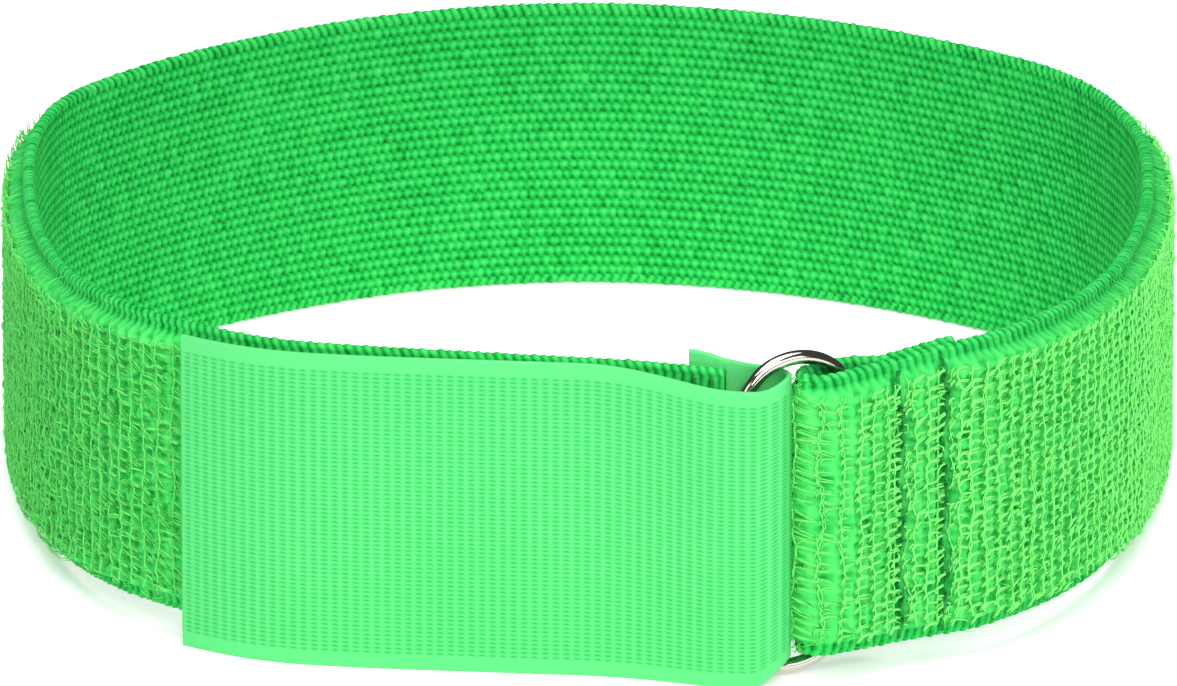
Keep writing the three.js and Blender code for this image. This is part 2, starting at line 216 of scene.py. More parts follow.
def cross_sections(node, start_near):
    """The frame's strip called node, as the corners of its cross-sections in order from the end
    nearer to start_near: plan points on its right and its left, and its low and high edges."""
    mesh = frame["nodes"][node].data
    mesh.calc_loop_triangles()
    corners = np.array([t.vertices for t in mesh.loop_triangles])
    grid = np.round(vertex_places(mesh) / GRID).astype(int)
    places, index = np.unique(grid, axis=0, return_inverse=True)
    corners = index.reshape(-1)[corners]
    low_at = {}
    for x, y, z in places:
        low_at[x, y] = min(z, low_at.get((x, y), z))
    is_top = places[:, 2] > (places[:, 2].min() + places[:, 2].max()) / 2
    roof = corners[is_top[corners].all(1)]
    edges = np.sort(np.concatenate([roof[:, [0, 1]], roof[:, [1, 2]], roof[:, [2, 0]]]), axis=1)
    edges, uses = np.unique(edges, axis=0, return_counts=True)
    beside = {}
    for a, b in edges[uses == 1]:
        beside.setdefault(a, []).append(b)
        beside.setdefault(b, []).append(a)
    start = edges[uses == 1][0][0]
    rim, ahead = [start], beside[start][0]
    while ahead != start:
        here = ahead
        ahead = next(v for v in beside[here] if v != rim[-1])
        rim.append(here)
    rim = places[rim]
    count = len(rim) // 2
    steps = np.arange(count)
    pairs = [(rim[(o + steps) % len(rim)], rim[(o - 1 - steps) % len(rim)]) for o in range(count)]
    one, other = min(pairs, key=lambda p: np.linalg.norm(p[0][:, :2] - p[1][:, :2], axis=1).sum())
    centre = (one + other)[:, :2] / 2
    target = np.array(start_near[:2]) / GRID
    if np.linalg.norm(centre[-1] - target) < np.linalg.norm(centre[0] - target):
        one, other, centre = one[::-1], other[::-1], centre[::-1]
    ahead = np.gradient(centre, axis=0)
    across = (other - one)[:, :2]
    if (ahead[:, 0] * across[:, 1] - ahead[:, 1] * across[:, 0]).sum() < 0:
        one, other = other, one
    low = np.array([low_at[x, y] for x, y, _ in one])
    return one[:, :2] * GRID, other[:, :2] * GRID, low * GRID, one[:, 2] * GRID


LINE_STEP = 0.1 * MM


class Strip:
    """One or more of the frame's strips in a row, as a smooth line measured along its length.
    Its left side is the outer side of the loop."""

    def __init__(self, nodes, start_near):
        rights, lefts, lows, highs = [], [], [], []
        for node in nodes:
            right, left, low, high = cross_sections(node, start_near)
            start_near = (right[-1] + left[-1]) / 2
            rights.append(right)
            lefts.append(left)
            lows.append(low)
            highs.append(high)
        self.right = np.concatenate(rights)
        self.left = np.concatenate(lefts)
        self.low = np.concatenate(lows)
        self.high = np.concatenate(highs)
        self.centre = (self.right + self.left) / 2
        steps = np.linalg.norm(np.diff(self.centre, axis=0), axis=1)
        self.knots = np.concatenate([[0], np.cumsum(steps)])
        self.length = self.knots[-1]

    def at(self, s):
        return through(self.knots, self.centre, s)

    def outward(self, s):
        ahead = unit(self.at(s + LINE_STEP) - self.at(s - LINE_STEP))
        return np.stack([-ahead[..., 1], ahead[..., 0]], axis=-1)

    def place(self, s, share, out):
        """Points at length s, at a share of the height between the edges, and out from the middle."""
        plan = self.at(s) + self.outward(s) * np.asarray(out)[..., None]
        low, high = through(self.knots, self.low, s), through(self.knots, self.high, s)
        return np.concatenate([plan, (low + (high - low) * share)[..., None]], axis=-1)

    def nearest(self, point, start=None, end=None):
        """The length along the line that comes nearest to a point seen from above."""
        tries = np.arange(start or 0, self.length if end is None else end, LINE_STEP)
        away = np.linalg.norm(self.at(tries) - np.array(point[:2]), axis=1)
        return tries[away.argmin()]


def middle(node):
    low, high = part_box(node)
    return (low + high) / 2


MIDDLE_OF_LOOP = (0.0, 0.0)
BAND = Strip(["elastic_band"], middle("hook_tape_anchor"))
BAND_LENGTH = BAND.length / MM
TAPE = Strip(
    ["hook_tape_anchor", "flap_root_tape", "flap_middle_tape", "flap_tip_tape"], MIDDLE_OF_LOOP
)
TAIL_START = BAND.length - BAND_TAIL * MM
FLAP_BODIES = ["strap", "flap_root", "flap_middle", "flap_tip"]
HINGES = [joint["pos_m"] for joint in frame["joints"] if joint["child"].startswith("flap")]
PAST_LEG = 0.2         # a share of the tape's length: past its inner leg, where the joints are
HINGE_LENGTHS = [TAPE.nearest(hinge, TAPE.length * PAST_LEG) for hinge in HINGES]


# ---- Materials ----


def fine_bump(tree, coordinate, grain_mm, strength, height_mm):
    """Fibres or marks too fine for the mesh, as a bump from noise."""
    noise = add_node(
        tree, "ShaderNodeTexNoise",
        {"Scale": 1 / (grain_mm * MM), "Detail": 3.0, "Roughness": 0.6}, Vector=coordinate,
    )
    bump = add_node(
        tree, "ShaderNodeBump", {"Strength": strength, "Distance": height_mm * MM},
        Height=noise.outputs["Fac"],
    )
    return noise, bump


def colour_by_depth(tree, depth, high, middle, deep):
    """high, a painted highlight, where threads stand out, deep, painted shade, between them, and
    middle half-way down.
    """
    ramp = add_node(tree, "ShaderNodeValToRGB", Fac=depth)
    stops = ramp.color_ramp.elements
    stops[0].color, stops[1].color = linear(high), linear(deep)
    stops.new(0.5).color = linear(middle)
    return ramp.outputs["Color"]


def cloth_material(name, colours, roughness, painted_glow, fibre_mm, nap=None):
    """Dyed synthetic yarn. colours are those of what stands out, a painted highlight, of half-way
    down, and of the holes, where light dies, painted shade. The dye varies slowly along the
    cloth. A bright dye gives back some of the light it takes in; the cloth stands in for this
    with a painted glow of its own in its middle colour, whatever light falls on it. nap gives
    the same three colours for the felted ground under a pile."""
    material, tree, shader = new_material(name)
    # painted light and shade at each point: 0 is a painted highlight, 1 the darkest painted shade
    depth = add_node(tree, "ShaderNodeAttribute", {"attribute_name": "depth"})
    place = add_node(tree, "ShaderNodeTexCoord")
    slow = add_node(
        tree, "ShaderNodeTexNoise", {"Scale": 1 / (DYE_PATCH * MM), "Detail": 3.0},
        Vector=place.outputs["Object"],
    )
    shift = add_node(
        tree, "ShaderNodeMapRange", {"To Min": -0.06, "To Max": 0.06}, Value=slow.outputs["Fac"]
    )
    # the painted shade with the dye's slow random tone added
    shade_and_dye = add_node(
        tree, "ShaderNodeMath", {"operation": "ADD", "use_clamp": True},
        in0=depth.outputs["Fac"], in1=shift.outputs[0],
    )
    colour = colour_by_depth(tree, shade_and_dye.outputs[0], *colours)
    if nap:
        felted = add_node(tree, "ShaderNodeAttribute", {"attribute_name": "nap"})
        mixed = add_node(
            tree, "ShaderNodeMix", {"data_type": "RGBA"}, in0=felted.outputs["Fac"],
            in6=colour, in7=colour_by_depth(tree, shade_and_dye.outputs[0], *nap),
        )
        colour = mixed.outputs[2]
    _, bump = fine_bump(
        tree, place.outputs["Object"], fibre_mm, strength=FIBRE_STRENGTH, height_mm=FIBRE_HEIGHT
    )
    tree.links.new(colour, shader.inputs["Base Color"])
    tree.links.new(bump.outputs[0], shader.inputs["Normal"])
    shader.inputs["Roughness"].default_value = roughness
    shader.inputs["Specular IOR Level"].default_value = 0.18
    # painted glow: the cloth emits its middle colour whatever light falls on it
    shader.inputs["Emission Color"].default_value = linear(colours[1])
    shader.inputs["Emission Strength"].default_value = painted_glow
    return material


# Knitted textured polyester over rubber: matt, with small round stitches, painted highlights on them
# and painted shade in the holes between
KNIT = cloth_material(
    "knitted_polyester_elastic", ("4cca66", "12b146", "035c18"), 0.8, 0.02, 0.35,
    nap=("57d66c", "3ac558", "199a3b"),
)
# Brushed nylon loop pile: yellower, with painted highlights along the tops of the loops and painted
# shade low down
PILE = cloth_material("nylon_loop_pile", ("80eb78", "62da67", "38b850"), 0.6, 0.07, 0.3)
# Woven nylon hook tape: smoother and paler, with a slight sheen along its ribs, partly from the shader
# and partly a painted highlight, and painted shade between them
TAPE_CLOTH = cloth_material("woven_nylon_tape", ("56c873", "3cb95e", "1b9a40"), 0.5, 0.03, 0.3)
# Drawn nylon hooks: a little glossy, yellower than the cloth they stand on
HOOKS = cloth_material("drawn_nylon_hooks", ("7bd962", "62c957", "40b044"), 0.4, 0.04, 0.5)
# Bonded polyester sewing thread: darker than the cloth, tight and slightly shiny
THREAD = cloth_material("bonded_sewing_thread", ("1f8f3f", "147432", "06531a"), 0.5, 0.01, 0.2)


def plated_metal():
    """Bent steel wire, plated with bright nickel and polished: a warm mirror with faint wipe marks."""
    material, tree, shader = new_material("bright_nickel_plate")
    place = add_node(tree, "ShaderNodeTexCoord")
    wipes, bump = fine_bump(
        tree, place.outputs["Object"], WIPE_MARK, strength=WIPE_STRENGTH, height_mm=WIPE_HEIGHT
    )
    rough = add_node(
        tree, "ShaderNodeMapRange", {"To Min": 0.06, "To Max": 0.13}, Value=wipes.outputs["Fac"]
    )
    tree.links.new(rough.outputs[0], shader.inputs["Roughness"])
    tree.links.new(bump.outputs[0], shader.inputs["Normal"])
    shader.inputs["Base Color"].default_value = linear("cfc6be")
    shader.inputs["Metallic"].default_value = 1.0
    return material


NICKEL = plated_metal()


# ---- Camera, floor and light ----

CAMERA_ELEVATION = math.radians(19)
CAMERA_DISTANCE = 3.5
CAMERA_REACH = 20
VIEW_WIDTH = 185.8     # what the picture's width shows at the aim, in mm
AIM = Vector((0.0001, 0.0634, 0))
FLOOR_SIZE = 8
FLOOR_GLOW = 0.35      # keeps the paper near white where no softbox reaches
WORLD_LIGHT = 0.07
STRAP_MIDDLE = Vector((0, 0, 0.02))
# Each square softbox: its place, its side in metres and its power in watts
SOFTBOXES = {
    "softbox_above": ((-0.1, -0.3, 1.5), 1.4, 25),
    "softbox_front": ((0.3, -2.0, 1.2), 1.0, 34),
    "softbox_front_left": ((-1.3, -1.6, 0.9), 0.9, 5),
    "softbox_front_right": ((1.3, -1.8, 0.8), 0.9, 6),
}


def make_camera():
    """A long lens that looks down on the strap from the front."""
    data = bpy.data.cameras.new("camera")
    data.lens = data.sensor_width * CAMERA_DISTANCE / (VIEW_WIDTH * MM)
    data.clip_end = CAMERA_REACH
    camera = bpy.data.objects.new("camera", data)
    bpy.context.scene.collection.objects.link(camera)
    back = Vector((0, -math.cos(CAMERA_ELEVATION), math.sin(CAMERA_ELEVATION)))
    camera.location = AIM + back * CAMERA_DISTANCE
    camera.rotation_euler = (math.pi / 2 - CAMERA_ELEVATION, 0, 0)
    bpy.context.scene.camera = camera


def make_floor():
    bpy.ops.object.select_all(action="DESELECT")
    bpy.ops.mesh.primitive_plane_add(size=FLOOR_SIZE)
    floor = bpy.context.object
    floor.name = "floor"
    material, _, shader = new_material("matt_white_paper")
    shader.inputs["Base Color"].default_value = linear("fbfbfb")
    shader.inputs["Roughness"].default_value = 1.0
    shader.inputs["Emission Color"].default_value = (1, 1, 1, 1)
    shader.inputs["Emission Strength"].default_value = FLOOR_GLOW
    floor.data.materials.append(material)


def soft_light(name, place, size, power):
    """A square softbox at place that faces the middle of the strap."""
    data = bpy.data.lights.new(name, "AREA")
    data.shape = "SQUARE"
    data.size = size
    data.energy = power
    light = bpy.data.objects.new(name, data)
    bpy.context.scene.collection.objects.link(light)
    light.location = place
    towards = STRAP_MIDDLE - Vector(place)
    light.rotation_euler = towards.to_track_quat("-Z", "Y").to_euler()


def make_light():
    world = bpy.data.worlds.new("studio")
    world.use_nodes = True
    background = world.node_tree.nodes["Background"]
    background.inputs["Color"].default_value = (1, 1, 1, 1)
    background.inputs["Strength"].default_value = WORLD_LIGHT
    bpy.context.scene.world = world
    for name, (place, size, power) in SOFTBOXES.items():
        soft_light(name, place, size, power)
    bpy.context.scene.view_settings.view_transform = "Standard"


make_camera()
make_floor()
make_light()


# ---- Cloth strips ----


def section_rows(width, thickness, edge_radius, edge_turn, edge_steps, inner_rows, outer_rows):
    """A strip's cross-section, once round: down the inner face, round the lower edge, up the outer
    face and round the upper edge. Each row has its place across the strip and out from its
    middle, in mm, the direction it swells in, and which part it is on."""
    rows = []
    face_edge = edge_radius * (1 - math.cos(edge_turn)) + FACE_INSET
    for across in np.linspace(width - face_edge, face_edge, inner_rows + 1):
        rows.append((across, -thickness / 2, 0, -1, 0, 0))
    for turn in np.linspace(-edge_turn, edge_turn, edge_steps + 1):
        across, out = -math.cos(turn), math.sin(turn)
        rows.append((edge_radius * (1 + across), edge_radius * out, across, out, 1, turn))
    for across in np.linspace(face_edge, width - face_edge, outer_rows + 1):
        rows.append((across, thickness / 2, 0, 1, 2, 0))
    for turn in np.linspace(edge_turn, -edge_turn, edge_steps + 1):
        across, out = math.cos(turn), math.sin(turn)
        rows.append((width - edge_radius * (1 - across), edge_radius * out, across, out, 1, turn))
    rows.append(rows[0])
    return np.array(rows).T


def cloth_strip(name, strip, start, end, step, rows, width, relief, material):
    """A closed strip of cloth along a frame strip, from a flat grid that is bent round the
    cross-section and along the line. relief says how far each point swells, in mm, and how much
    painted shade it gets between threads, from 0, a painted highlight, to 1."""
    columns = max(2, round((end - start) / step))
    bpy.ops.object.select_all(action="DESELECT")
    bpy.ops.mesh.primitive_grid_add(
        x_subdivisions=columns, y_subdivisions=rows.shape[1] - 1, size=1, calc_uvs=True
    )
    piece = bpy.context.object
    piece.name = piece.data.name = name
    flat = vertex_places(piece.data)
    s = start + (flat[:, 0] + 0.5) * (end - start)
    row = np.round((flat[:, 1] + 0.5) * (rows.shape[1] - 1)).astype(int)
    across, out, swell_across, swell_out, part, turn = rows[:, row]
    swell, depth, nap = relief(s / MM, across, part, turn)
    share = (across + swell * swell_across) / width
    places = strip.place(s, share, (out + swell * swell_out) * MM)
    piece.data.vertices.foreach_set("co", places.astype(np.float32).ravel())
    for label, values in (("depth", depth), ("nap", nap)):
        attribute = piece.data.attributes.new(label, "FLOAT", "POINT")
        attribute.data.foreach_set("value", values.astype(np.float32))
    select_only(piece)
    bpy.ops.object.mode_set(mode="EDIT")
    bpy.ops.mesh.select_all(action="SELECT")
    bpy.ops.mesh.remove_doubles(threshold=0.001 * MM)
    bpy.ops.mesh.fill_holes(sides=0)
    bpy.ops.mesh.select_all(action="SELECT")
    bpy.ops.mesh.normals_make_consistent(inside=False)
    bpy.ops.object.mode_set(mode="OBJECT")
    bpy.ops.object.shade_smooth()
    piece.data.materials.append(material)
    return piece


STITCH_NOISE = np.random.default_rng(11).normal(0, 1, (600, 80))


def per_stitch(s, across):
    """A number of its own for each knitted stitch, about 0 and mostly within 1."""
    return STITCH_NOISE[(s // COURSE).astype(int) % 600, (across // WALE).astype(int) % 80]


def seam_line(seam, across):
    """Where a row of sewing pulls the pile in, as it wanders from edge to edge."""
    return seam + 0.45 * np.sin(across * 0.42 + seam) + 0.22 * np.sin(across * 1.5 + 2 * seam)


def near_seam(s, across, reach):
    """1 on a row of sewing through the pile and 0 further from it than reach."""
    away = np.min([np.abs(s - seam_line(seam, across)) for seam in PILE_SEAMS], axis=0)
    return 1 - ease(away, 0, reach)


def beside_seams(s, across):
    """Places on the pile, pushed aside by the rows of sewing that furrow it."""
    for seam in PILE_SEAMS:
        away = s - seam_line(seam, across)
        s = s + np.sign(away) * SEAM_GROOVE * (1 - ease(np.abs(away), 0, 3 * SEAM_GROOVE))
    return s


def off_seams(along, s, across):
    """Points of loops that stand at s, kept from crossing a row of sewing."""
    for seam in PILE_SEAMS:
        line = seam_line(seam, across)
        before = np.minimum(along, line - 0.4 * SEAM_GROOVE)
        beyond = np.maximum(along, line + 0.4 * SEAM_GROOVE)
        along = np.where(s < line, before, beyond)
    return along


def napped(s, across):
    """1 where the elastic is felted under its pile, and 0 where it is bare."""
    inside = ease(across, LOOP_MARGIN - 0.9, LOOP_MARGIN + 0.5)
    inside = inside * ease(BAND_WIDTH - across, LOOP_MARGIN - 0.9, LOOP_MARGIN + 0.5)
    return inside * ease(pile_height(s), 0.1, 0.6)


def knit_relief(s, across, part, turn):
    """Inside, round stitches, each row half a stitch on from the last, with a hole at each of
    their corners. Outside, upright bars where the elastic is bare, and a felted ground in rungs
    under the pile. The rolled edge is a rope of slanting bars, every other one smaller. Each
    point also gets its painted shade: painted highlights on the stitches, and painted shade in
    the holes, between bars, in the pits of the felted ground and in the furrows of the sewing,
    with a little random tone for each stitch."""
    row = np.floor((across - BAND_FACE_EDGE) / WALE + 1e-6)
    own = per_stitch(s, across)
    along = np.abs(np.sin(np.pi * (s / COURSE + 0.5 * (row % 2)) + 0.25 * per_stitch(across, s)))
    over = np.abs(np.sin(np.pi * (across - BAND_FACE_EDGE) / WALE))
    stitch = (0.5 * along + 0.5 * over) * (1 + 0.1 * own)
    hole = (1 - along) ** 0.9 * (1 - over) ** 0.6
    inner = KNIT_DEPTH * (stitch - 0.7) - HOLE_DEPTH * hole
    # painted highlight at the middle of each stitch, painted shade in the holes at its corners, and a
    # little random tone for each stitch
    inner_depth = 0.52 - 0.5 * (along * over) ** 2.5 + 0.6 * hole + 0.06 * own

    bars = np.abs(np.sin(np.pi * (s + ROPE_SLANT * ROPE_TURN) / COURSE))
    nap = napped(s, across) * (part == 2)
    column = np.abs(np.sin(np.pi * s / LOOP_COLUMN))
    rung = np.abs(np.sin(np.pi * (across - LOOP_MARGIN) / LOOP_ROW))
    furrow = near_seam(s, across, 2 * SEAM_GROOVE)
    pit = column * rung
    felt = NAP_SHARE * pile_height(s) * (1 - 0.35 * pit + 0.12 * own) * (1 - furrow)
    outer = (1 - nap) * BAR_DEPTH * (bars - 0.8) + nap * felt
    # painted shade between the bare bars and between stitches, and in the pits of the felted ground,
    # with a little random tone
    bare_depth = 0.12 + 0.8 * (1 - bars) + 0.15 * (1 - over) + 0.1 * own
    outer_depth = (1 - nap) * bare_depth + nap * (0.06 + 0.5 * pit**2 + 0.22 * np.abs(own))
    # painted shade in the furrow that each row of sewing pulls into the pile
    outer_depth = np.maximum(outer_depth, (1.5 * furrow - 0.3) * nap)

    slanted = s + ROPE_SLANT * turn
    twist = np.abs(np.sin(np.pi * slanted / COURSE))
    plies = np.cos(2 * np.pi * slanted / COURSE) ** 2
    bigger = np.where((slanted // COURSE) % 2 < 1, 1.0, 0.75)
    rope = (0.8 * twist + 0.2 * plies) * bigger * (1 + 0.1 * per_stitch(slanted, across * 0))
    on_rope = part == 1
    swell = np.where(on_rope, ROPE_DEPTH * (np.minimum(rope, 1.0) - 1.0), inner)
    swell = np.where(part == 2, outer, swell)
    # painted shade between the rope's slanting bars
    depth = np.where(on_rope, 0.15 + 0.8 * (1 - twist) + 0.1 * own, inner_depth)
    depth = np.where(part == 2, outer_depth, depth)
    return swell, np.clip(depth, 0, 1), nap


def make_band():
    """The elastic, in lengths of whole stitches that meet end to end."""
    rows = section_rows(
        BAND_WIDTH, BAND_THICKNESS, ROPE_RADIUS, ROPE_TURN, ROPE_STEPS,
        BAND_WALES * STEPS_PER_STITCH, BAND_WALES * STEPS_PER_STITCH,
    )
    names = [
        "elastic_front_left", "elastic_left", "elastic_back_left",
        "elastic_back_right", "elastic_right", "elastic_front_right",
    ]
    courses = round(BAND.length / MM / COURSE)
    ends = [round(courses * i / len(names)) * BAND.length / courses for i in range(len(names) + 1)]
    step = COURSE / STEPS_PER_STITCH * MM
    for name, start, end in zip(names, ends, ends[1:]):
        piece = cloth_strip(name, BAND, start, end, step, rows, BAND_WIDTH, knit_relief, KNIT)
        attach(piece, "strap")
    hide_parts("elastic_band")


def tape_relief(q, across, part, turn):
    """Raised ribs across the tape's back with weft threads between them, and a plain selvedge.
    The rib tops get a painted highlight, and painted shade lies between ribs and between threads.
    """
    rib = np.abs(np.sin(np.pi * q / RIB)) ** 1.2
    pick = np.abs(np.sin(np.pi * (across - TAPE_FACE_EDGE) / PICK))
    inside = ease(across, TAPE_SELVEDGE - 0.4, TAPE_SELVEDGE + 0.4)
    inside = inside * ease(TAPE_WIDTH - across, TAPE_SELVEDGE - 0.4, TAPE_SELVEDGE + 0.4)
    on_back = (part == 2) * inside
    swell = on_back * (RIB_DEPTH * (1 - rib) + PICK_DEPTH * rib * pick)
    # painted highlight on each rib's top, painted shade between ribs and between weft threads
    depth = on_back * rib * (0.15 + 0.85 * (1 - pick))
    return swell, np.clip(depth, 0, 1), np.zeros(len(q))


def tape_point(q):
    return TAPE.place(np.array([q]), np.array([0.5]), np.array([0.0]))[0]


def blend_at_hinge(piece, i):
    """Bakes a piece's transform into its mesh. It works out the tape's places before and past the
    joint that leads to the flap's body number i, but does not use them: the piece is not bent.
    """
    at, bend = HINGE_LENGTHS[i - 1], TAPE_BEND * MM
    before, past = tape_point(at - bend), tape_point(at + bend)
    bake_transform(piece)


def make_tape():
    """The hook tape: the inner leg with the fold round the ring, then a length across each joint.
    Returns where each of them starts and ends."""
    rows = section_rows(
        TAPE_WIDTH, TAPE_THICKNESS, TAPE_THICKNESS / 2, math.pi / 2, 4, 24,
        TAPE_PICKS * STEPS_PER_PICK,
    )
    fold_end = HINGE_LENGTHS[0] - FOLD_BEFORE_JOINT * MM
    cuts = [fold_end, *((a + b) / 2 for a, b in zip(HINGE_LENGTHS, HINGE_LENGTHS[1:]))]
    cuts = [0, *(round(cut / MM / RIB) * RIB * MM for cut in cuts), TAPE.length]
    names = ["hook_tape_leg", "hook_tape_root", "hook_tape_middle", "hook_tape_tip"]
    nodes = ["hook_tape_anchor", "flap_root_tape", "flap_middle_tape", "flap_tip_tape"]
    step = RIB / STEPS_PER_RIB * MM
    for i, name in enumerate(names):
        piece = cloth_strip(
            name, TAPE, cuts[i], cuts[i + 1], step, rows, TAPE_WIDTH, tape_relief, TAPE_CLOTH
        )
        select_only(piece)
        bpy.ops.object.shade_smooth_by_angle(angle=math.radians(70))
        if i == 0:
            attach(piece, "strap")
        else:
            blend_at_hinge(piece, i)
        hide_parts(nodes[i])
    return cuts


# ---- Thin yarns ----


def tubes(name, paths, radii, sides, strip, width, material, depths):
    """Many thin closed tubes as one mesh. paths is (tubes, points, 3), in mm on the flat cloth:
    along, across and out. They are bent to the strip's shape once their walls are made."""
    count, points, _ = paths.shape
    ahead = unit(np.gradient(paths, axis=1))
    side = unit(np.cross(ahead, np.array([0.6, 0.6, 0.53])))
    over = np.cross(ahead, side)
    turns = np.arange(sides) * 2 * math.pi / sides
    ring = side[:, :, None] * np.cos(turns)[:, None] + over[:, :, None] * np.sin(turns)[:, None]
    flat = paths[:, :, None] + ring * np.broadcast_to(radii, (count, points))[..., None, None]
    s, across, out = np.moveaxis(flat.reshape(-1, 3), 1, 0)
    places = strip.place(s * MM, across / width, out * MM)

    k = np.arange(points - 1)[:, None] * sides
    a = np.arange(sides)
    b = (a + 1) % sides
    walls = np.stack([k + a, k + b, k + sides + b, k + sides + a], axis=-1).reshape(-1, 4)
    starts = np.arange(count)[:, None] * points * sides
    quads = (starts[..., None] + walls).reshape(-1, 4)
    first_cap = starts + a[::-1]
    last_cap = starts + (points - 1) * sides + a

    one = places[:points * sides]
    centre = one.mean(0)
    solid = sum(
        np.dot(one[w[0]] - centre, np.cross(one[w[1]] - centre, one[w[2]] - centre)) for w in walls
    )
    if solid < 0:
        quads, first_cap, last_cap = quads[:, ::-1], first_cap[:, ::-1], last_cap[:, ::-1]
    loops = np.concatenate([quads.ravel(), first_cap.ravel(), last_cap.ravel()])
    sizes = np.concatenate([np.full(len(quads), 4), np.full(2 * count, sides)])
    first_corners = np.concatenate([[0], np.cumsum(sizes)[:-1]])
    mesh = bpy.data.meshes.new(name)
    mesh.vertices.add(len(places))
    mesh.vertices.foreach_set("co", places.astype(np.float32).ravel())
    mesh.loops.add(len(loops))
    mesh.loops.foreach_set("vertex_index", loops.astype(np.int32))
    mesh.polygons.add(len(sizes))
    mesh.polygons.foreach_set("loop_start", first_corners.astype(np.int32))
    mesh.update(calc_edges=True)
    # the painted shade at each point, which picks the material's colour
    attribute = mesh.attributes.new("depth", "FLOAT", "POINT")
    values = np.broadcast_to(depths, (count, points))
    attribute.data.foreach_set("value", np.repeat(values.ravel(), sides).astype(np.float32))
    mesh.materials.append(material)
    piece = bpy.data.objects.new(name, mesh)
    bpy.context.scene.collection.objects.link(piece)
    select_only(piece)
    bpy.ops.object.shade_smooth()
    return piece


# One pile loop: from its foot along a rung, then round a corner and down its column. Shares of a
# column along, of a row across and of the pile's height out.
LOOP_SHAPE = np.array([
    [-1.0, -0.08, 0.35],
    [-0.86, -0.02, 0.82],
    [-0.48, 0.06, 0.97],
    [-0.1, 0.02, 1.0],
    [0.03, -0.3, 0.97],
    [0.02, -0.75, 0.7],
])


def pile_heights():
    """How far the pile stands out at each length, from the frame's pile solids."""
    solids = (
        ("outer_pile", middle("hook_tape_anchor"), 0, TAIL_START),
        ("tail_pile", middle("ring"), TAIL_START, BAND.length),
    )
    lengths, heights = [], []
    for node, start_near, after, before in solids:
        for left in Strip([node], start_near).left:
            s = BAND.nearest(left, after, before)
            away = np.linalg.norm(left - BAND.at(np.array([s]))[0]) / MM
            lengths.append(s)
            heights.append(away - BAND_THICKNESS / 2)
    order = np.argsort(lengths)
    return np.array(lengths)[order], np.array(heights)[order]


PILE_LENGTHS, PILE_HEIGHTS = pile_heights()


def pile_height(s_mm):
    return np.interp(s_mm * MM, PILE_LENGTHS, PILE_HEIGHTS, left=0, right=0)


FOLD_TIP = BAND.nearest(middle("ring"), BAND.length * 0.9) / MM
PILE_SEAMS = [
    BAND.nearest(middle(f"ring_seam_{row}_needle_thread"), 0, TAIL_START) / MM
    for row in (1, 2)
]


def wildness(s):
    """How unruly the pile is: brushed up beside the flap and at the fold, neat elsewhere."""
    beside_flap = 1 - ease(s, BAND_LENGTH * 0.2, BAND_LENGTH * 0.55)
    return beside_flap + 0.8 * ease(s, FOLD_TIP - 9, FOLD_TIP - 3)


def wander(s, across):
    """How far a column of loops strays along the strap at each place across it."""
    return 0.25 * np.sin(across * 0.35 + s) + 0.1 * np.sin(across * 1.1 + 2 * s)


def loop_paths(rng, columns):
    """Filaments of the loops that stand in columns, and the painted shade at each point of them."""
    rows = np.arange(LOOP_MARGIN + 0.4 * LOOP_ROW, BAND_WIDTH - LOOP_MARGIN, LOOP_ROW)
    s, across = (x.ravel() for x in np.meshgrid(columns, rows, indexing="ij"))
    across = across + rng.normal(0, 0.07, len(s)) * (1 + 2 * wildness(s))
    from_edge = np.minimum(across, BAND_WIDTH - across) - LOOP_MARGIN
    kept = rng.random(len(s)) < 0.5 + ease(from_edge, 0.2, 2.0)
    s, across = s[kept], across[kept]
    count = len(s)
    wild = wildness(s)
    bulge = near_seam(s, across, 3.4 * SEAM_GROOVE)
    s = s + wander(s, across) + rng.normal(0, 0.06, count) * (1 + wild)
    s = beside_seams(s, across)
    height = pile_height(s) * rng.normal(0.93, 0.05, count).clip(0.7, 1.08)
    slant = rng.normal(0, 0.1, count) * (1 + 1.5 * wild + 2 * bulge) - 0.5 * wild
    lean = rng.normal(0, 0.08, (count, 2)) * (1 + 1.5 * wild + 2.5 * bulge)[:, None]
    paths = []
    for _ in range(LOOP_FILAMENTS):
        shape = LOOP_SHAPE[None] + rng.normal(0, 0.03, (count, len(LOOP_SHAPE), 3))
        along = s[:, None] + shape[..., 0] * LOOP_COLUMN + lean[:, :1] * shape[..., 2]
        up = across[:, None] + shape[..., 1] * LOOP_ROW + lean[:, 1:] * shape[..., 2]
        up = up - slant[:, None] * shape[..., 0] * LOOP_COLUMN
        out = BAND_THICKNESS / 2 + shape[..., 2] * height[:, None]
        spread = rng.normal(0, LOOP_SPREAD, (count, 1, 3)) * (1 + 0.6 * wild)[:, None, None]
        points = np.stack([along, up, out], axis=-1) + spread
        points[..., 0] = off_seams(points[..., 0], s[:, None], across[:, None])
        paths.append(points)
    wild = np.tile(wild, LOOP_FILAMENTS)[:, None]
    # painted shade: darker low down by the ground, and unruly loops get less painted highlight
    depths = np.clip(1.0 - LOOP_SHAPE[:, 2] + 0.35 * np.minimum(wild, 1), 0, 1)
    return np.concatenate(paths), depths, LOOP_YARN * (1 - 0.35 * np.minimum(wild, 1))


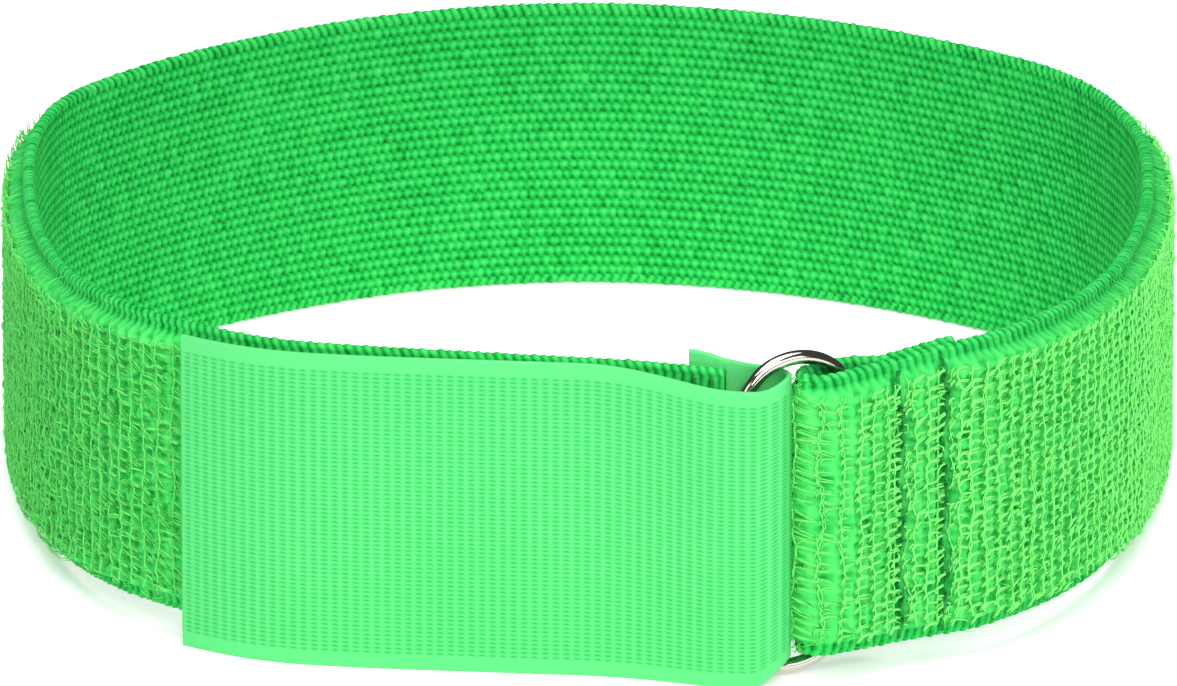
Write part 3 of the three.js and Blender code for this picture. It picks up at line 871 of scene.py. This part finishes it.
def chain_paths(rng, columns):
    """The upright line that ties the loops of each column together."""
    up = np.arange(LOOP_MARGIN + 0.4 * LOOP_ROW, BAND_WIDTH - LOOP_MARGIN, CHAIN_STEP)
    paths = []
    for _ in range(CHAIN_FILAMENTS):
        s, across = np.meshgrid(columns, up, indexing="ij")
        along = s + wander(s, across) - 0.12 * np.abs(np.sin(np.pi * across / LOOP_ROW))
        along = beside_seams(along, across)
        height = pile_height(along)
        out = BAND_THICKNESS / 2 + height * (0.95 + 0.04 * np.sin(np.pi * across / LOOP_ROW))
        spread = rng.normal(0, 0.07, (*s.shape, 3)) + rng.normal(0, 0.08, (len(s), 1, 3))
        paths.append(np.stack([along, across, out], axis=-1) + spread)
    wild = np.tile(wildness(columns), CHAIN_FILAMENTS)[:, None]
    # painted shade: light along the chains, and unruly columns get less painted highlight
    depths = np.broadcast_to(0.12 + 0.35 * np.minimum(wild, 1), (len(wild), len(up)))
    return np.concatenate(paths), depths, LOOP_YARN * (1 - 0.35 * np.minimum(wild, 1))


def column_places(start, end):
    """Where the columns of loops stand, with more of them close to each row of sewing."""
    columns = np.arange(start, end, LOOP_COLUMN)
    for seam in PILE_SEAMS:
        if start < seam < end:
            columns = columns[np.abs(columns - seam) > 0.7 * LOOP_COLUMN]
            columns = np.append(columns, seam + BESIDE_SEAM)
    return np.sort(columns)


def make_pile():
    """The loops and the chains that tie them, in five lengths along the strap."""
    rng = np.random.default_rng(5)
    names = ["front_left", "left", "back", "right", "front_right"]
    first, last = PILE_LENGTHS[0] / MM + LOOP_COLUMN, PILE_LENGTHS[-1] / MM
    ends = np.linspace(first, last, len(names) + 1)
    for name, start, end in zip(names, ends, ends[1:]):
        columns = column_places(start, end - 0.3 * LOOP_COLUMN)
        for kind, (paths, depths, radii) in (
            ("pile", loop_paths(rng, columns)), ("pile_chains", chain_paths(rng, columns)),
        ):
            piece = tubes(
                f"{kind}_{name}", paths, radii, THIN_SIDES, BAND, BAND_WIDTH, PILE, depths
            )
            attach(piece, "strap")
    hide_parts("outer_pile")
    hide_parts("tail_pile")


def make_fuzz():
    """Loose filaments that stand out of the pile at all angles, and more of them at the fold."""
    rng = np.random.default_rng(9)
    count, at_fold = FUZZ_COUNT, FUZZ_AT_FOLD
    s = rng.uniform(PILE_LENGTHS[0] / MM, PILE_LENGTHS[-1] / MM, count)
    s[:at_fold] = rng.normal(FOLD_TIP - 1, 1.5, at_fold)
    across = rng.uniform(LOOP_MARGIN, BAND_WIDTH - LOOP_MARGIN, count)
    across[:at_fold] = rng.uniform(0.8, BAND_WIDTH - 0.8, at_fold)
    heading = rng.uniform(0, 2 * math.pi, count)
    reach = rng.uniform(*FUZZ_REACH, count)
    height = np.maximum(pile_height(s), 0.5) * rng.uniform(0.8, 1.2, count)
    height[:at_fold] = np.minimum(height[:at_fold], 0.75)
    steps = np.linspace(0, 1, FUZZ_POINTS)
    rise = np.sin(steps * math.pi) ** 0.7
    along = s[:, None] + (np.cos(heading) * reach)[:, None] * steps
    up = across[:, None] + (np.sin(heading) * reach)[:, None] * steps
    up = np.clip(up, 0.6, BAND_WIDTH - 0.6)
    out = BAND_THICKNESS / 2 + height[:, None] * rise
    paths = np.stack([along, up, out], axis=-1) + rng.normal(0, 0.08, (count, FUZZ_POINTS, 3))
    piece = tubes("pile_fuzz", paths, FUZZ_YARN, THIN_SIDES, BAND, BAND_WIDTH, PILE, 0.35)
    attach(piece, "strap")


# One hook: straight up, then over. Shares of its reach along, and of its height out.
HOOK_SHAPE = np.array([[0, 0, 0.05], [0, 0, 0.6], [0.15, 0, 0.92], [0.42, 0, 1.0], [0.6, 0, 0.72]])


def make_hooks(cuts):
    """The hooks on each third of the flap, with cuts as make_tape gives them."""
    rng = np.random.default_rng(21)
    rows = np.arange(TAPE_SELVEDGE + 0.4, TAPE_WIDTH - TAPE_SELVEDGE, HOOK_ROW)
    starts = [HINGE_LENGTHS[0] + HOOKS_PAST_FOLD * MM, cuts[2], cuts[3], cuts[4]]
    for i, body in enumerate(FLAP_BODIES[1:]):
        first, last = starts[i] / MM + HOOK_FIELD_GAP, starts[i + 1] / MM - HOOK_FIELD_GAP
        columns = np.arange(first, last, HOOK_PITCH)
        past = columns - HINGE_LENGTHS[i] / MM
        columns = columns[(past < -BARE_BEFORE_JOINT) | (past > BARE_PAST_JOINT)]
        q, across = (x.ravel() for x in np.meshgrid(columns, rows, indexing="ij"))
        facing = np.where(rng.random(len(q)) < 0.5, 1, -1)
        shape = np.broadcast_to(HOOK_SHAPE, (len(q), len(HOOK_SHAPE), 3))
        along = q[:, None] + shape[..., 0] * facing[:, None] * HOOK_REACH
        up = across[:, None] + shape[..., 1]
        out = -TAPE_THICKNESS / 2 - shape[..., 2] * HOOK_HEIGHT
        paths = np.stack([along, up + rng.normal(0, 0.05, along.shape), out], axis=-1)
        name = f"{body}_hook_field"
        piece = tubes(name, paths, HOOK_WIRE, THIN_SIDES, TAPE, TAPE_WIDTH, HOOKS, 0.0)
        blend_at_hinge(piece, i + 1)
        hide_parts(f"{body}_hooks")


# ---- Ring ----


def make_ring():
    """A torus pulled apart along its height, so that its two sides are straight bars, and stood
    where the frame's ring stands."""
    corners = np.unique(np.round(vertex_places(frame["nodes"]["ring"].data), 6), axis=0)
    centre = (corners.min(0) + corners.max(0)) / 2
    axes = np.linalg.svd(corners - corners.mean(0), full_matrices=False)[2]
    tall, wide = np.ptp((corners - centre) @ axes.T, axis=0)[:2]
    wire = RING_WIRE * MM
    bpy.ops.object.select_all(action="DESELECT")
    bpy.ops.mesh.primitive_torus_add(
        major_segments=128, minor_segments=32, major_radius=(wide - wire) / 2, minor_radius=wire / 2
    )
    ring = bpy.context.object
    ring.name = ring.data.name = "nickel_ring"
    half_straight = (tall - wide) / 2
    for side in (1, -1):
        bpy.ops.object.mode_set(mode="EDIT")
        bpy.ops.mesh.select_all(action="DESELECT")
        bpy.ops.object.mode_set(mode="OBJECT")
        for vertex in ring.data.vertices:
            vertex.select = vertex.co.y * side > 1e-6
        bpy.ops.object.mode_set(mode="EDIT")
        bpy.ops.transform.translate(value=(0, side * half_straight, 0))
        bpy.ops.object.mode_set(mode="OBJECT")
    up, across = Vector(axes[0]), Vector(axes[1])
    up = up if up.z > 0 else -up
    across = across if across.x > 0 else -across
    turn = Matrix((across, up, across.cross(up))).transposed().to_4x4()
    ring.matrix_world = Matrix.Translation(Vector(centre)) @ turn
    bpy.context.view_layer.update()
    select_only(ring)
    bpy.ops.object.transform_apply(location=True, rotation=True, scale=True)
    bpy.ops.object.shade_smooth()
    ring.data.materials.append(NICKEL)
    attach(ring, "ring")
    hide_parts("ring")


# ---- Stitches ----


def make_stitches():
    """Each row of sewing is a chain of short slanting stitches where the frame's thread runs."""
    rng = np.random.default_rng(3)
    for node in sorted(frame["nodes"]):
        if not node.endswith("_thread"):
            continue
        low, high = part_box(node)
        centre = (low + high) / 2
        is_tail = "ring" in node and "bobbin" in node
        is_outer = "ring" in node and "needle" in node
        after, before = (TAIL_START, None) if is_tail else (0, TAIL_START)
        s = BAND.nearest(centre, after, before)
        at = np.array([s])
        side = (np.array(centre[:2]) - BAND.at(at)[0]) @ BAND.outward(at)[0] / MM
        count = round((high.z - low.z) / MM / STITCH_LENGTH)
        z = np.linspace(low.z, high.z, count + 1) / MM
        base = through(BAND.knots, BAND.low, at)[0] / MM
        scale = (through(BAND.knots, BAND.high, at)[0] / MM - base) / BAND_WIDTH
        steps = np.linspace(0, 1, STITCH_POINTS)
        paths = []
        for a, b in zip(z, z[1:]):
            for ply in (-STITCH_PLY, STITCH_PLY):
                up = (a + (b - a) * (0.02 + 0.96 * steps) - base) / scale
                along = s / MM + ply * np.cos(steps * 2 * math.pi) + 0.25 * (steps - 0.5)
                if is_outer:
                    along = along + seam_line(s / MM, up) - s / MM
                out = side + np.sign(side) * (0.25 * np.sin(steps * math.pi) - 0.15)
                out = out + ply * np.sin(steps * 2 * math.pi)
                paths.append(np.stack([along, up, out], axis=-1))
        paths = np.array(paths) + rng.normal(0, 0.02, (len(paths), STITCH_POINTS, 3))
        piece = tubes(
            node.replace("_thread", "_stitches"), paths, STITCH_YARN, STITCH_SIDES, BAND,
            BAND_WIDTH, THREAD, STITCH_PAINTED_SHADES,
        )
        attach(piece, "strap")
        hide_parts(node)


make_band()
tape_cuts = make_tape()
make_pile()
make_fuzz()
make_hooks(tape_cuts)
make_ring()
make_stitches()
